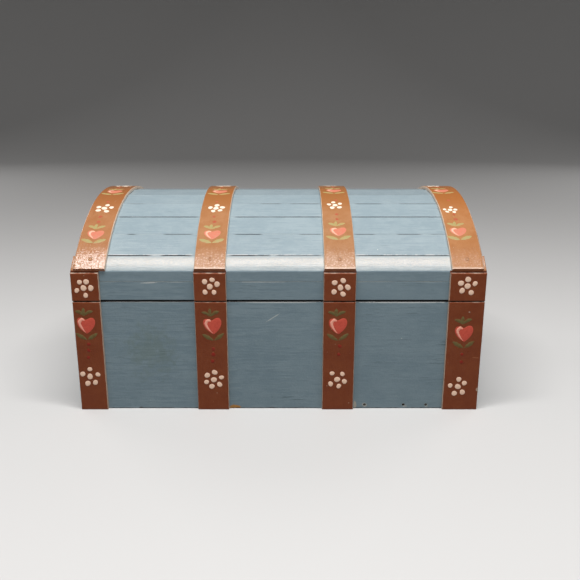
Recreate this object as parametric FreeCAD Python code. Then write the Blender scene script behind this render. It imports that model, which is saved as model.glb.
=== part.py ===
import FreeCAD, Part
import math
import os

# Overall sizes of the chest, in millimetres
chest_width = 254.0            # over the faces of the two end boards
chest_depth = 180.0            # over the faces of the front and back boards
base_height = 71.8             # box below the lid
lid_gap = 0.7                  # dark joint line between box and lid
lid_wall_height = 18.5         # straight wall of the lid, up to the edge of the dome
dome_rise = 38.5               # height of the slats over that edge

# Boards and slats
board_thickness = 6.4          # walls of box and lid
bottom_thickness = 4.8         # floor of the box
slat_thickness = 4.8
slat_width = 17.8              # full slats, across their outer face
narrowest_edge_slat = 6.0      # least width that the first and last slat are ripped to
slat_gap = 0.3                 # open joint between neighbouring slats
slat_end_setback = 1.1         # full slats stop this far inside the end boards' faces
edge_ease = 0.3                # broken edges of boards and slats

# Straps, placed across the width from the middle of the chest, left is negative
strap_thickness = 2.2
wall_strap_width = 20.1        # inner straps on the walls of box and lid
dome_strap_width = 19.4        # straps bent over the dome
left_corner_strap_width = 17.3
right_corner_strap_width = 22.4
left_inner_strap_centre = -42.0
right_inner_strap_centre = 37.5
dome_corner_inset = 1.9        # outer dome straps stop this far inside the end boards' faces
lid_strap_drop = 0.8           # short lid straps stop this far below the edge of the dome
dome_strap_end_tilt = 16.0     # degrees that the ends of the bent straps are off square
strap_ease = 0.5               # broken outer edges of the straps

# Brads
strap_brad_head = 2.4          # diameter
strap_brad_head_height = 0.8
strap_brad_from_end = 7.5      # along the bent strap
strap_brad_proud = 0.1         # head stands this far above the strap
strap_brad_tip_cover = 1.0     # wood left below the tip
bottom_brad_head = 1.8
bottom_brad_head_height = 1.0
bottom_brad_sink = 0.6         # head set below the face of the board
bottom_brad_grip = 8.0         # length in the edge of the floor
bottom_brads_from_right = (72.0, 47.0, 32.5)
brad_shank = 1.2
brad_fit = 0.05                # radial room round a driven brad or screw
fastener_sides = 16            # small round heads and shanks are drawn with this many sides

# Hinges, on the back between a corner strap and the next one
hinge_length = 22.0
leaf_height = 10.4             # from the pin's axis to the far edge of a leaf
leaf_thickness = 0.8
leaf_corner = 1.2              # rounded far corners of the leaves
barrel_diameter = 3.3
barrel_wall_room = 0.25        # between the barrel and the face of the wall
knuckle_gap = 0.25             # between neighbouring knuckles, and round a leaf's cut-out
pin_diameter = 1.6
pin_fit = 0.05                 # radial running clearance of the pin
pin_head = 2.4
pin_head_height = 0.5
lid_stop_angle = 107.0         # degrees of opening at which the back straps' ends meet

# Hinge screws
screw_head = 3.4
screw_head_height = 1.0
screw_shank = 1.8
screw_slot_width = 0.5
screw_slot_depth = 0.4
screw_hole_room = 0.15         # radial room in the leaf's hole
screw_tip_cover = 1.2          # wood left below the tip
screw_from_side = 5.0          # from the hinge's end to a screw
screw_from_edge = 3.6          # from the far edge of a leaf to a screw

# Worked out from the sizes above
half_width = chest_width / 2
half_depth = chest_depth / 2
inner_half_width = half_width - board_thickness
inner_half_depth = half_depth - board_thickness
lid_bottom = base_height + lid_gap
dome_edge_z = lid_bottom + lid_wall_height
dome_radius = (half_depth ** 2 + dome_rise ** 2) / (2 * dome_rise)
dome_centre_z = dome_edge_z + dome_rise - dome_radius
dome_edge_angle = math.asin(half_depth / dome_radius)
strap_radius = dome_radius + strap_thickness
axis_offset = barrel_diameter / 2 + barrel_wall_room
axis_y = half_depth + axis_offset
axis_z = base_height + lid_gap / 2
stop_half_gap = (strap_thickness - axis_offset) * math.tan(math.radians(lid_stop_angle) / 2)
back_strap_trim = max(0.0, stop_half_gap - lid_gap / 2)

along_x = FreeCAD.Vector(1, 0, 0)
tolerance = 1e-4


def box(x0, x1, y0, y1, z0, z1):
    return Part.makeBox(x1 - x0, y1 - y0, z1 - z0, FreeCAD.Vector(x0, y0, z0))


def prism(outline, x0, x1):
    # outline is a ring of (y, z) points, drawn out along the width
    corners = [FreeCAD.Vector(x0, y, z) for y, z in outline]
    face = Part.Face(Part.makePolygon(corners + corners[:1]))
    return face.extrude(along_x * (x1 - x0))


def edges_where(solid, test):
    return [edge for edge in solid.Edges if all(test(v.Point) for v in edge.Vertexes)]


def chamfer_line(solid, y, z):
    # breaks the one edge that runs along the width at this height and depth
    line = edges_where(solid, lambda p: abs(p.y - y) < tolerance and abs(p.z - z) < tolerance)
    return solid.makeChamfer(edge_ease, line)


def on_dome(angle, radius):
    return FreeCAD.Vector(0, radius * math.sin(angle), dome_centre_z + radius * math.cos(angle))


# Straps across the width
def wall_strap_spans():
    half = wall_strap_width / 2
    return [
        (-half_width, -half_width + left_corner_strap_width),
        (left_inner_strap_centre - half, left_inner_strap_centre + half),
        (right_inner_strap_centre - half, right_inner_strap_centre + half),
        (half_width - right_corner_strap_width, half_width),
    ]


def dome_strap_spans():
    half = dome_strap_width / 2
    corner = half_width - dome_corner_inset - half
    centres = [-corner, left_inner_strap_centre, right_inner_strap_centre, corner]
    return [(centre - half, centre + half) for centre in centres]


def hinge_centres():
    # each hinge sits in the middle of the bay next to a corner strap
    spans = wall_strap_spans()
    return {
        "left": (spans[0][1] + spans[1][0]) / 2,
        "right": (spans[2][1] + spans[3][0]) / 2,
    }


# Facets of the dome
def slat_bounds():
    # angles of the slat joints from front to back, with one joint at the top of the dome
    step = 2 * math.asin(slat_width / (2 * dome_radius))
    narrow_step = 2 * math.asin(narrowest_edge_slat / (2 * dome_radius))
    full_slats = math.floor((dome_edge_angle - narrow_step) / step)
    joints = [index * step for index in range(-full_slats, full_slats + 1)]
    return [-dome_edge_angle] + joints + [dome_edge_angle]


def facets():
    # each facet as its middle angle and half its spread
    bounds = slat_bounds()
    return [((a + b) / 2, (b - a) / 2) for a, b in zip(bounds, bounds[1:])]


def facet_frame(middle):
    # turns distances across and out of a facet into (y, z)
    def place(across, out):
        y = across * math.cos(middle) + out * math.sin(middle)
        z = dome_centre_z - across * math.sin(middle) + out * math.cos(middle)
        return y, z

    return place


def slat_outline(index):
    middle, half = facets()[index]
    last = len(facets()) - 1
    top = dome_radius * math.cos(half)
    bottom = top - slat_thickness
    gap = slat_gap / 2 / math.cos(half)
    outer = [top * math.tan(half) - gap, top * math.tan(half) - gap]
    inner = [bottom * math.tan(half) - gap, bottom * math.tan(half) - gap]
    # the first and last slat end in an upright cut, level with the face of the rail
    reach = top * math.tan(half)
    slope = slat_thickness * math.tan(abs(middle))
    if index == 0:
        outer[0] = reach
        inner[0] = reach + slope
    if index == last:
        outer[1] = reach
        inner[1] = reach + slope
    place = facet_frame(middle)
    ring = [(-outer[0], top), (outer[1], top), (inner[1], bottom), (-inner[0], bottom)]
    return [place(across, out) for across, out in ring]


def below_slats():
    # ring round everything under the slats' lower faces, down to the lid's lower edge
    lines = [(middle, dome_radius * math.cos(half) - slat_thickness) for middle, half in facets()]
    ring = [(-half_depth, lid_bottom)]
    first_middle, first_out = lines[0]
    front_top = (first_out + half_depth * math.sin(first_middle)) / math.cos(first_middle)
    ring.append((-half_depth, dome_centre_z + front_top))
    for (m1, d1), (m2, d2) in zip(lines, lines[1:]):
        spread = math.sin(m2 - m1)
        y = (d2 * math.cos(m1) - d1 * math.cos(m2)) / spread
        z = (d1 * math.sin(m2) - d2 * math.sin(m1)) / spread
        ring.append((y, dome_centre_z + z))
    ring.append((half_depth, dome_centre_z + front_top))
    ring.append((half_depth, lid_bottom))
    return ring


# Brads and screws: a point on the surface, and the way in
def rod(radius, length, point, inward):
    # a small round rod from the point inwards, across the chest's width on two of its corners
    across = along_x.cross(inward)
    turns = [2 * math.pi * index / fastener_sides for index in range(fastener_sides)]
    ring = [point + along_x * radius * math.cos(t) + across * radius * math.sin(t) for t in turns]
    return Part.Face(Part.makePolygon(ring + ring[:1])).extrude(inward * length)


def brad(point, inward, head, head_height, length):
    return rod(head / 2, head_height, point, inward).fuse(rod(brad_shank / 2, length, point, inward))


def brad_hole(point, inward, head, head_height, length):
    start = point - inward * head
    wide = rod(head / 2 + brad_fit, head + head_height + brad_fit, start, inward)
    return wide.fuse(rod(brad_shank / 2 + brad_fit, length + brad_fit, point, inward))


def strap_brad_sites():
    # the head's point and the way in, at both ends of each bent strap
    sites = []
    angle = dome_edge_angle - strap_brad_from_end / strap_radius
    for x0, x1 in dome_strap_spans():
        for turn in (-angle, angle):
            inward = FreeCAD.Vector(0, -math.sin(turn), -math.cos(turn))
            point = on_dome(turn, strap_radius + strap_brad_proud)
            point.x = (x0 + x1) / 2
            sites.append((point, inward))
    return sites


strap_brad_length = strap_thickness + strap_brad_proud + slat_thickness - strap_brad_tip_cover


def strap_brad_holes():
    size = (strap_brad_head, strap_brad_head_height, strap_brad_length)
    holes = [brad_hole(point, inward, *size) for point, inward in strap_brad_sites()]
    return Part.makeCompound(holes)


def bottom_brad_sites(side):
    inward = FreeCAD.Vector(0, -side, 0)
    y = side * (half_depth - bottom_brad_sink)
    z = bottom_thickness / 2
    return [(FreeCAD.Vector(half_width - x, y, z), inward) for x in bottom_brads_from_right]


bottom_brad_length = board_thickness - bottom_brad_sink + bottom_brad_grip


def bottom_brad_holes(side):
    size = (bottom_brad_head, bottom_brad_head_height, bottom_brad_length)
    holes = [brad_hole(point, inward, *size) for point, inward in bottom_brad_sites(side)]
    return Part.makeCompound(holes)


def screw_sites(side):
    # side is -1 for the leaves on the box and 1 for those on the lid
    z = axis_z + side * (leaf_height - screw_from_edge)
    y = half_depth + leaf_thickness
    shift = hinge_length / 2 - screw_from_side
    return [
        FreeCAD.Vector(centre + hand * shift, y, z)
        for centre in hinge_centres().values()
        for hand in (-1, 1)
    ]


screw_length = leaf_thickness + board_thickness - screw_tip_cover
into_wall = FreeCAD.Vector(0, -1, 0)


def hinge_screw(point):
    head = rod(screw_head / 2, screw_head_height, point - into_wall * screw_head_height, into_wall)
    crown = point.y + screw_head_height
    shaft = rod(screw_shank / 2, screw_length, point, into_wall)
    reach = screw_head / 2
    slot = box(
        point.x - reach, point.x + reach,
        crown - screw_slot_depth, crown + screw_head_height,
        point.z - screw_slot_width / 2, point.z + screw_slot_width / 2,
    )
    return head.fuse(shaft).cut(slot).removeSplitter()


def screw_holes(side):
    length = screw_length + brad_fit
    radius = screw_shank / 2 + brad_fit
    return Part.makeCompound([rod(radius, length, point, into_wall) for point in screw_sites(side)])


# Box
def base_long_board(side):
    inner, outer = sorted((side * inner_half_depth, side * half_depth))
    board = box(-half_width, half_width, inner, outer, 0, base_height)
    board = chamfer_line(board, side * half_depth, base_height)
    board = board.cut(bottom_brad_holes(side))
    if side > 0:
        board = board.cut(screw_holes(-1))
    return board


def base_end_board(hand):
    inner, outer = sorted((hand * inner_half_width, hand * half_width))
    board = box(inner, outer, -inner_half_depth, inner_half_depth, 0, base_height)
    top = edges_where(
        board,
        lambda p: abs(p.x - hand * half_width) < tolerance and abs(p.z - base_height) < tolerance,
    )
    return board.makeChamfer(edge_ease, top)


def base_bottom_board():
    board = box(
        -inner_half_width, inner_half_width,
        -inner_half_depth, inner_half_depth,
        0, bottom_thickness,
    )
    return board.cut(bottom_brad_holes(-1)).cut(bottom_brad_holes(1))


def wall_strap(span, side, z0, z1):
    # long edges are broken, the ends stay square because box and lid were sawn apart there
    x0, x1 = span
    face = side * (half_depth + strap_thickness)
    inner, outer = sorted((side * half_depth, face))
    strap = box(x0, x1, inner, outer, z0, z1)
    long_edges = [
        edge
        for edge in edges_where(strap, lambda p: abs(p.y - face) < tolerance)
        if abs(edge.Vertexes[0].Z - edge.Vertexes[1].Z) > tolerance
    ]
    return strap.makeChamfer(strap_ease, long_edges)


# Lid
def lid_rail(side):
    inner, outer = sorted((side * inner_half_depth, side * half_depth))
    block = box(-half_width, half_width, inner, outer, lid_bottom, dome_edge_z + dome_rise)
    rail = block.common(prism(below_slats(), -half_width, half_width)).removeSplitter()
    rail = chamfer_line(rail, side * half_depth, lid_bottom)
    if side > 0:
        rail = rail.cut(screw_holes(1))
    return rail


def lid_end_board(hand):
    inner, outer = sorted((hand * inner_half_width, hand * half_width))
    block = box(
        inner, outer,
        -inner_half_depth, inner_half_depth,
        lid_bottom, dome_edge_z + dome_rise,
    )
    return block.common(prism(below_slats(), inner, outer)).removeSplitter()


def lid_slat(index):
    is_edge = index in (0, len(facets()) - 1)
    reach = half_width if is_edge else half_width - slat_end_setback
    outline = slat_outline(index)
    slat = prism(outline, -reach, reach)
    for y, z in outline[:2]:
        slat = chamfer_line(slat, y, z)
    if is_edge:
        slat = slat.cut(strap_brad_holes())
    return slat


def dome_strap(span):
    x0, x1 = span
    end_lean = strap_thickness * math.tan(math.radians(dome_strap_end_tilt)) / strap_radius
    inner_angle = dome_edge_angle
    outer_angle = dome_edge_angle - end_lean
    inner_front = on_dome(-inner_angle, dome_radius)
    inner_back = on_dome(inner_angle, dome_radius)
    outer_front = on_dome(-outer_angle, strap_radius)
    outer_back = on_dome(outer_angle, strap_radius)
    section = Part.Wire([
        Part.Arc(inner_front, on_dome(0, dome_radius), inner_back).toShape(),
        Part.LineSegment(inner_back, outer_back).toShape(),
        Part.Arc(outer_back, on_dome(0, strap_radius), outer_front).toShape(),
        Part.LineSegment(outer_front, inner_front).toShape(),
    ])
    section.translate(along_x * x0)
    strap = Part.Face(section).extrude(along_x * (x1 - x0))

    def is_outer(point):
        return abs(math.hypot(point.y, point.z - dome_centre_z) - strap_radius) < tolerance

    strap = strap.makeChamfer(strap_ease, edges_where(strap, is_outer))
    return strap.cut(strap_brad_holes())


# Hinges
def knuckle_spans(centre):
    # three knuckles: the outer two belong to the box, the middle one to the lid
    length = (hinge_length - 2 * knuckle_gap) / 3
    starts = [centre - hinge_length / 2 + index * (length + knuckle_gap) for index in range(3)]
    return [(start, start + length) for start in starts]


def rounded_leaf(x0, x1, side):
    far = axis_z + side * leaf_height
    near = axis_z + side * (barrel_diameter / 2 + knuckle_gap)
    low, high = sorted((far, near))
    leaf = box(x0, x1, half_depth, half_depth + leaf_thickness, low, high)
    corners = [
        edge
        for edge in edges_where(leaf, lambda p: abs(p.z - far) < tolerance)
        if abs(edge.Vertexes[0].Y - edge.Vertexes[1].Y) > tolerance
    ]
    return leaf.makeFillet(leaf_corner, corners)


def hinge_leaf(centre, side):
    leaf = rounded_leaf(centre - hinge_length / 2, centre + hinge_length / 2, side)
    near = axis_z + side * (barrel_diameter / 2 + knuckle_gap)
    low, high = sorted((axis_z, near))
    spans = knuckle_spans(centre)
    own = spans[1:2] if side > 0 else spans[0::2]
    for x0, x1 in own:
        start = FreeCAD.Vector(x0, axis_y, axis_z)
        barrel = Part.makeCylinder(barrel_diameter / 2, x1 - x0, start, along_x)
        tongue = box(x0, x1, half_depth, half_depth + leaf_thickness, low, high)
        leaf = leaf.fuse([tongue, barrel])
    bore_start = FreeCAD.Vector(centre - hinge_length, axis_y, axis_z)
    leaf = leaf.cut(Part.makeCylinder(pin_diameter / 2 + pin_fit, 2 * hinge_length, bore_start, along_x))
    hole_radius = screw_shank / 2 + screw_hole_room
    for point in screw_sites(side):
        leaf = leaf.cut(rod(hole_radius, 3 * leaf_thickness, point - into_wall * leaf_thickness, into_wall))
    return leaf.removeSplitter()


def hinge_pin(centre):
    shaft_length = hinge_length + 2 * pin_fit
    start = FreeCAD.Vector(centre - shaft_length / 2, axis_y, axis_z)
    end = FreeCAD.Vector(centre + shaft_length / 2, axis_y, axis_z)
    shaft = Part.makeCylinder(pin_diameter / 2, shaft_length, start, along_x)
    first = Part.makeCylinder(pin_head / 2, pin_head_height, start, along_x * -1)
    second = Part.makeCylinder(pin_head / 2, pin_head_height, end, along_x)
    return shaft.fuse([first, second]).removeSplitter()


# Assembly
def base_nodes():
    nodes = {
        "base_front_board": base_long_board(-1),
        "base_back_board": base_long_board(1),
        "base_left_end": base_end_board(-1),
        "base_right_end": base_end_board(1),
        "base_bottom_board": base_bottom_board(),
    }
    for number, span in enumerate(wall_strap_spans(), 1):
        nodes[f"base_front_strap_{number}"] = wall_strap(span, -1, 0, base_height)
        nodes[f"base_back_strap_{number}"] = wall_strap(span, 1, 0, base_height - back_strap_trim)
    for name, centre in hinge_centres().items():
        nodes[f"hinge_{name}_base_leaf"] = hinge_leaf(centre, -1)
        nodes[f"hinge_{name}_pin"] = hinge_pin(centre)
    nodes["base_hinge_screws"] = Part.makeCompound([hinge_screw(point) for point in screw_sites(-1)])
    size = (bottom_brad_head, bottom_brad_head_height, bottom_brad_length)
    sites = bottom_brad_sites(-1) + bottom_brad_sites(1)
    nodes["bottom_brads"] = Part.makeCompound([brad(point, inward, *size) for point, inward in sites])
    return nodes


def lid_nodes():
    nodes = {
        "lid_front_rail": lid_rail(-1),
        "lid_back_rail": lid_rail(1),
        "lid_left_end": lid_end_board(-1),
        "lid_right_end": lid_end_board(1),
    }
    for index in range(len(facets())):
        nodes[f"lid_slat_{index + 1:02d}"] = lid_slat(index)
    strap_top = dome_edge_z - lid_strap_drop
    for number, span in enumerate(wall_strap_spans(), 1):
        nodes[f"lid_front_strap_{number}"] = wall_strap(span, -1, lid_bottom, strap_top)
        nodes[f"lid_back_strap_{number}"] = wall_strap(span, 1, lid_bottom + back_strap_trim, strap_top)
    for number, span in enumerate(dome_strap_spans(), 1):
        nodes[f"lid_dome_strap_{number}"] = dome_strap(span)
    size = (strap_brad_head, strap_brad_head_height, strap_brad_length)
    brads = [brad(point, inward, *size) for point, inward in strap_brad_sites()]
    nodes["dome_strap_brads"] = Part.makeCompound(brads)
    for name, centre in hinge_centres().items():
        nodes[f"hinge_{name}_lid_leaf"] = hinge_leaf(centre, 1)
    nodes["lid_hinge_screws"] = Part.makeCompound([hinge_screw(point) for point in screw_sites(1)])
    return nodes


os.makedirs("parts", exist_ok=True)
chest = {**base_nodes(), **lid_nodes()}
for name, shape in chest.items():
    shape.exportStep(f"parts/{name}.step")
print(f"{len(chest)} nodes, top at z {dome_centre_z + strap_radius:.2f}")
print(f"lid axis at y {axis_y:.3f} z {axis_z:.3f}")
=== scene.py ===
import bpy
import math
import random
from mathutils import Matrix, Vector, noise


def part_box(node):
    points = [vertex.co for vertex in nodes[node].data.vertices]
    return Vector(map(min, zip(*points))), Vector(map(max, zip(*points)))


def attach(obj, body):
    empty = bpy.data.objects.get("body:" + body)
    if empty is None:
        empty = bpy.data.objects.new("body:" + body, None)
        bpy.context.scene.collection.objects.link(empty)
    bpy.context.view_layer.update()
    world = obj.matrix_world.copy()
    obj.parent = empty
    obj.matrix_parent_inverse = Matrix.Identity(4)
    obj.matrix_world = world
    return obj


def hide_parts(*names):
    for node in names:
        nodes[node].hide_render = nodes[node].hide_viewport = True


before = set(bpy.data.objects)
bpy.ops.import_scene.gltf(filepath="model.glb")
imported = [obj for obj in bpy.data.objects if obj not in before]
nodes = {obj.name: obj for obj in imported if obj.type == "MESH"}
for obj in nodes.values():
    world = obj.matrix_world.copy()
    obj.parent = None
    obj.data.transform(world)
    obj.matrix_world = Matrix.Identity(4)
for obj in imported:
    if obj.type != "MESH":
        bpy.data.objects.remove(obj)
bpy.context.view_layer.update()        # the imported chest: bodies base and lid
print("frame loaded,", len(nodes), "nodes")

# Sizes read from the frame, in metres
frontLow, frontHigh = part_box("base_front_board")
halfWidth = frontHigh.x
halfDepth = -frontLow.y
strapThickness = -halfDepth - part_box("base_front_strap_2")[0].y
domeLow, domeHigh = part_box("lid_dome_strap_2")
domeRise = domeHigh.z - strapThickness - domeLow.z
domeRadius = (halfDepth ** 2 + domeRise ** 2) / (2 * domeRise)
domeCentre = domeHigh.z - strapThickness - domeRadius    # height of the dome's axis
domeEdgeAngle = math.asin(halfDepth / domeRadius)
strapRadius = domeRadius + strapThickness
strapEndDepth = strapRadius * math.sin(domeEdgeAngle)
domeStrapLength = 2 * domeEdgeAngle * strapRadius
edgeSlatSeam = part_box("lid_slat_01")[0].z                # joint of edge slat and rail on the front
slatWidth = 0.0178
slatStep = 2 * math.asin(slatWidth / (2 * domeRadius))   # angle from joint to joint, one lies at the top
jointsPerSide = 5
lastJoint = jointsPerSide * slatStep                     # angle of the joint behind the edge slat
edgeSlatMiddle = (lastJoint + domeEdgeAngle) / 2
rimHeight = (frontHigh.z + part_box("lid_front_rail")[0].z) / 2
strapCount = 4
strapSpans = [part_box(f"lid_front_strap_{number + 1}") for number in range(strapCount)]
faceInset = 0.00020        # painted faces lie this far inside the straps' solids, for raised paint
faceLevel = strapThickness - faceInset

# Camera, light and floor
cameraSetup = {
    "place": (0.0070, -0.4859, 0.1885),
    "pitchDown": 15.44,      # degrees
    "lens": 41.5,
    "sensor": 36.0,
    "clipStart": 0.01,
}
lamps = [
    {"name": "softbox", "aim": (0.0, -0.09, 0.09), "azimuth": 0, "elevation": 78, "distance": 0.85,
     "size": (0.90, 0.145), "power": 11.5},
    {"name": "frontFill", "aim": (0, 0, 0.07), "azimuth": 0, "elevation": 25, "distance": 1.2,
     "size": (0.7, 0.4), "power": 3.0},
    {"name": "rearFillLeft", "aim": (0, 0, 0.07), "azimuth": -128, "elevation": 24, "distance": 2.0,
     "size": (0.9, 0.7), "power": 7.0},
    {"name": "rearFillRight", "aim": (0, 0, 0.07), "azimuth": 128, "elevation": 24, "distance": 2.0,
     "size": (0.9, 0.7), "power": 7.0},
]
worldGrey = 0.11
floorLook = {
    "radius": 2.0,            # where the floor starts to sweep up, all round
    "sweep": 0.8,             # radius of the sweep
    "height": 1.4,
    "sweepSteps": 16,
    "sides": 64,
    "pale": (0.56, 0.55, 0.54),
    "bounce": (0.13, 0.125, 0.12),    # what the chest's own light picks up from it
    "roughness": 0.6,
}


def operator(operation, swapped=False):
    def method(wire, other=0.0):
        return mathOf(operation, other, wire) if swapped else mathOf(operation, wire, other)

    return method


class Wire:    # an output of a node; each step of a sum with wires becomes a math node
    def __init__(self, socket):
        self.socket = socket
        self.tree = socket.id_data

    __add__ = operator("ADD")
    __sub__ = operator("SUBTRACT")
    __rsub__ = operator("SUBTRACT", swapped=True)
    __mul__ = operator("MULTIPLY")
    __truediv__ = operator("DIVIDE")
    __abs__ = operator("ABSOLUTE")
    __lt__ = operator("LESS_THAN")
    __gt__ = operator("GREATER_THAN")

    def __neg__(self):
        return self * -1.0


def feed(node, values):
    for label, value in values.items():
        socket = node.inputs[label]
        if isinstance(value, Wire):
            value.tree.links.new(value.socket, socket)
        elif socket.type == "RGBA":
            socket.default_value = (*value, 1)
        else:
            socket.default_value = value


def wiresOf(node):    # its outputs by place and by name
    return {key: Wire(socket) for place, socket in enumerate(node.outputs) for key in (place, socket.name)}


def addNode(tree, kind, values=None, **settings):
    node = tree.nodes.new("ShaderNode" + kind)
    for key, value in settings.items():
        setattr(node, key, value)
    feed(node, values or {})
    return wiresOf(node)


def mathOf(operation, first, second=0.0):
    tree = first.tree if isinstance(first, Wire) else second.tree
    return addNode(tree, "Math", {0: first, 1: second}, operation=operation)[0]


def vectorOf(operation, first, second=(0, 0, 0)):
    made = addNode(first.tree, "VectorMath", {0: first, 1: second}, operation=operation)
    return made["Value" if operation in ("DOT_PRODUCT", "LENGTH") else "Vector"]


def axesOf(vector):
    return addNode(vector.tree, "SeparateXYZ", {0: vector})


def largest(first, second):
    return mathOf("MAXIMUM", first, second)


def around(value, reach):    # noise of 0..1 turned to plus and minus half the reach
    return (value - 0.5) * reach


def ease(value, low, high):    # 0 up to low, 1 from high on
    limits = {"Value": value, "From Min": low, "From Max": high}
    return addNode(value.tree, "MapRange", limits, interpolation_type="SMOOTHSTEP")["Result"]


def spread(value, low, high):    # takes 0..1 to low..high
    return addNode(value.tree, "MapRange", {"Value": value, "To Min": low, "To Max": high})["Result"]


def mixColour(mask, under, over):
    return addNode(mask.tree, "Mix", {0: mask, 6: under, 7: over}, data_type="RGBA")[2]


def noiseOf(vector, scale, detail=3.0, rough=0.5):
    values = {"Vector": vector, "Scale": scale, "Detail": detail, "Roughness": rough}
    return addNode(vector.tree, "TexNoise", values)[0]


def bumpOf(height, strength, distance, **normal):
    values = {"Height": height, "Strength": strength, "Distance": distance, **normal}
    return addNode(height.tree, "Bump", values)["Normal"]


def makeGroup(name, inputs, outputs):    # its first input is a place
    tree = bpy.data.node_groups.new(name, "ShaderNodeTree")
    for label, value in {"Vector": (0, 0, 0), **inputs}.items():
        kind = "Float" if isinstance(value, float) else "Vector" if len(value) == 3 else "Color"
        socket = tree.interface.new_socket(label, in_out="INPUT", socket_type="NodeSocket" + kind)
        socket.default_value = value
    for label in outputs:
        kind = "Color" if label == "Colour" else "Float"
        tree.interface.new_socket(label, in_out="OUTPUT", socket_type="NodeSocket" + kind)
    return tree, wiresOf(tree.nodes.new("NodeGroupInput")), tree.nodes.new("NodeGroupOutput")


def useGroup(group, values):
    return addNode(values["Vector"].tree, "Group", values, node_tree=group)


def newMaterial(name):
    material = bpy.data.materials.new(name)
    material.use_nodes = True
    tree = material.node_tree
    return material, tree, tree.nodes["Principled BSDF"]


def addObject(name, data):
    made = bpy.data.objects.new(name, data)
    bpy.context.scene.collection.objects.link(made)
    return made


def makeCamera():
    data = bpy.data.cameras.new("photoCamera")
    data.lens = cameraSetup["lens"]
    data.sensor_width = cameraSetup["sensor"]
    data.clip_start = cameraSetup["clipStart"]
    camera = addObject("photoCamera", data)
    camera.location = cameraSetup["place"]
    camera.rotation_euler = (math.radians(90 - cameraSetup["pitchDown"]), 0, 0)
    bpy.context.scene.camera = camera


def makeLights():
    for lamp in lamps:
        data = bpy.data.lights.new(lamp["name"], "AREA")
        data.shape = "RECTANGLE"
        data.size, data.size_y = lamp["size"]
        data.energy = lamp["power"]
        light = addObject(lamp["name"], data)
        turn, rise = math.radians(lamp["azimuth"]), math.radians(lamp["elevation"])
        towards = Vector((math.sin(turn) * math.cos(rise), -math.cos(turn) * math.cos(rise), math.sin(rise)))
        light.location = Vector(lamp["aim"]) + towards * lamp["distance"]
        light.rotation_euler = towards.to_track_quat("Z", "Y").to_euler()
    world = bpy.data.worlds.new("studioWorld")
    world.use_nodes = True
    feed(world.node_tree.nodes["Background"], {"Color": (1, 1, 1), "Strength": worldGrey})
    bpy.context.scene.world = world


def makeFloor():
    # a round floor that sweeps up to a low wall
    steps, sweep, sides = floorLook["sweepSteps"], floorLook["sweep"], floorLook["sides"]
    turns = [math.pi / 2 * step / steps for step in range(steps + 1)]
    line = [(floorLook["radius"] + sweep * math.sin(turn), sweep * (1 - math.cos(turn))) for turn in turns]
    line.append((line[-1][0], floorLook["height"]))
    spins = [2 * math.pi * side / sides for side in range(sides)]
    points = [(reach * math.cos(spin), reach * math.sin(spin), z) for reach, z in line for spin in spins]
    faces = [tuple(range(sides))]
    for ring in range(len(line) - 1):
        low, high = ring * sides, (ring + 1) * sides
        for side in range(sides):
            after = (side + 1) % sides
            faces.append((low + side, high + side, high + after, low + after))
    mesh = bpy.data.meshes.new("studioFloor")
    mesh.from_pydata(points, [], faces)
    mesh.shade_smooth()
    floor = addObject("studioFloor", mesh)
    material, tree, shader = newMaterial("studioFloor")
    path = addNode(tree, "LightPath")
    seen = largest(largest(path["Is Camera Ray"], path["Is Glossy Ray"]), path["Is Transmission Ray"])
    tone = mixColour(seen, floorLook["bounce"], floorLook["pale"])
    feed(shader, {"Base Color": tone, "Roughness": floorLook["roughness"]})
    mesh.materials.append(material)


makeCamera()
makeLights()
makeFloor()
bpy.context.scene.view_settings.view_transform = "Standard"
print("camera, light and floor set")

# Effects that several finishes share


def makeBrushGrain():
    # fine lines of the brush and the wood under the paint, drawn out by Stretch
    inputs = {"Stretch": (1, 1, 1), "Scale": 400.0, "Patch Scale": 45.0}
    tree, source, target = makeGroup("brushGrain", inputs, ["Streaks", "Height"])
    drawn = vectorOf("MULTIPLY", source["Vector"], source["Stretch"])
    coarse = noiseOf(drawn, source["Scale"], 4.0, 0.6)
    lines = ease(coarse, 0.56, 0.74)
    broken = ease(noiseOf(source["Vector"], source["Patch Scale"], 2.0), 0.42, 0.66)
    feed(target, {"Streaks": lines * broken, "Height": coarse})
    return tree


def makeEdgeWear():
    # how far a point lies on an outer edge, broken up by noise
    inputs = {"Radius": 0.0006, "Break Scale": 250.0, "Break Depth": 0.3}
    tree, source, target = makeGroup("edgeWear", inputs, ["Mask"])
    rounded = addNode(tree, "Bevel", {"Radius": source["Radius"]}, samples=6)["Normal"]
    flat = addNode(tree, "NewGeometry")["Normal"]
    turned = 1.0 - vectorOf("DOT_PRODUCT", rounded, flat)
    breaks = around(noiseOf(source["Vector"], source["Break Scale"], 3.0, 0.6), source["Break Depth"])
    feed(target, {"Mask": ease(turned + breaks, 0.03, 0.16)})
    return tree


def makePaintSpot():
    # one mark with ragged edges: a stain, chip or scratch at a place
    inputs = {
        "Centre": (0, 0, 0),
        "Radii": (0.01, 1, 0.01),
        "Turn": 0.0,
        "Ragged": 0.5,
        "Ragged Scale": 300.0,
        "Softness": 0.3,
    }
    tree, source, target = makeGroup("paintSpot", inputs, ["Mask"])
    offset = vectorOf("SUBTRACT", source["Vector"], source["Centre"])
    turn = {"Vector": offset, "Angle": source["Turn"]}
    turned = addNode(tree, "VectorRotate", turn, rotation_type="Y_AXIS")["Vector"]
    reach = vectorOf("LENGTH", vectorOf("DIVIDE", turned, source["Radii"]))
    edge = reach + around(noiseOf(source["Vector"], source["Ragged Scale"]), source["Ragged"])
    feed(target, {"Mask": 1.0 - ease(edge, 1.0 - source["Softness"], 1.0)})
    return tree


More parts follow.
